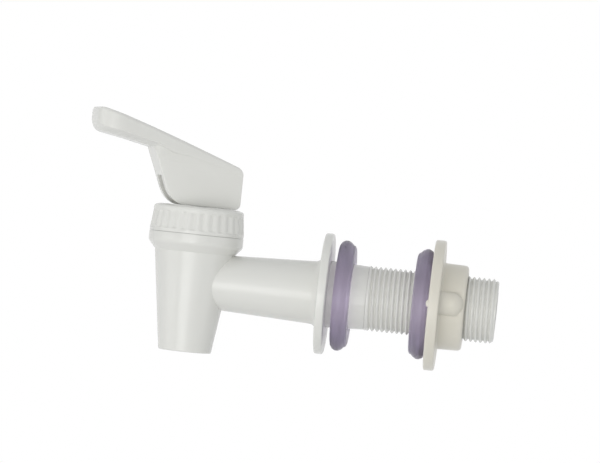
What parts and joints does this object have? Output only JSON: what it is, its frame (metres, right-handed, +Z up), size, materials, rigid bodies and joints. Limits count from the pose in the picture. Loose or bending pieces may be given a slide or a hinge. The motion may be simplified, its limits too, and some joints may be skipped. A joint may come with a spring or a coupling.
{
  "type": "reverse osmosis tap",
  "caption": "Push-lever plastic water tap with a conical spout, ribbed bonnet, flanged threaded shank, soft sealing washers and a lugged lock nut.",
  "frame": {"origin": "centre of the tank face of the tap's flange, on the shank's axis", "axes": "+X along the shank into the tank, +Z up, the barrel and its spout on the -X side with the spout pointing down"},
  "size_m": [0.1286, 0.0396, 0.0712],
  "materials": {
    "white_plastic": "moulded, semi-gloss",
    "cream_plastic": "moulded, semi-gloss",
    "violet_rubber": "soft, translucent",
    "silicone": "soft, translucent",
    "stem_plastic": "moulded, satin",
    "spring_steel": "drawn wire",
    "pin_steel": "ground"
  },
  "bodies": {
    "tap_body": {"tap_body": "white_plastic"},
    "outer_washer": {"outer_washer": "violet_rubber"},
    "inner_washer": {"inner_washer": "violet_rubber"},
    "lock_nut": {"lock_nut": "cream_plastic"},
    "seat_cup": {"seat_cup": "silicone"},
    "bonnet": {"bonnet_cap": "white_plastic"},
    "spring": {"spring_guide": "stem_plastic", "return_spring": "spring_steel"},
    "stem": {"valve_stem": "stem_plastic"},
    "lever": {"lever": "white_plastic", "lever_pin": "pin_steel"}
  },
  "joints": [
    {"name": "outer_washer_slide", "type": "slide", "parent": "tap_body", "child": "outer_washer", "axis": [1, 0, 0], "range_m": [-0.0019, 0.002]},
    {"name": "nut_travel", "type": "slide", "parent": "tap_body", "child": "inner_washer", "axis": [1, 0, 0], "range_m": [-0.0163, 0.0094]},
    {"name": "nut_spin", "type": "hinge", "parent": "inner_washer", "child": "lock_nut", "pos_m": [0.036, 0, 0], "axis": [1, 0, 0], "range_deg": [-3912, 2256]},
    {"name": "bonnet_travel", "type": "slide", "parent": "tap_body", "child": "seat_cup", "axis": [0, 0, 1], "range_m": [0, 0.0061]},
    {"name": "bonnet_spin", "type": "hinge", "parent": "seat_cup", "child": "bonnet", "pos_m": [-0.042, 0, 0.018], "axis": [0, 0, 1], "range_deg": [0, 1080]},
    {"name": "lever_swivel", "type": "hinge", "parent": "bonnet", "child": "spring", "pos_m": [-0.042, 0, 0.02], "axis": [0, 0, 1], "continuous": true},
    {"name": "stem_lift", "type": "slide", "parent": "spring", "child": "stem", "axis": [0, 0, 1], "range_m": [0, 0.0028], "deforming": ["return_spring", "seat_cup"]},
    {"name": "lever_press", "type": "hinge", "parent": "stem", "child": "lever", "pos_m": [-0.042, 0, 0.0255], "axis": [0.3256, -0.9455, 0], "range_deg": [0, 25], "stiffness_Nm_per_rad": 0.038, "springref_deg": -35.24}
  ],
  "couplings": [
    {"joint": "nut_travel", "follows": "nut_spin", "m_per_rad": 0.00023873},
    {"joint": "bonnet_travel", "follows": "bonnet_spin", "m_per_rad": 0.00031831},
    {"joint": "stem_lift", "follows": "lever_press", "m_per_rad": 0.00635}
  ]
}
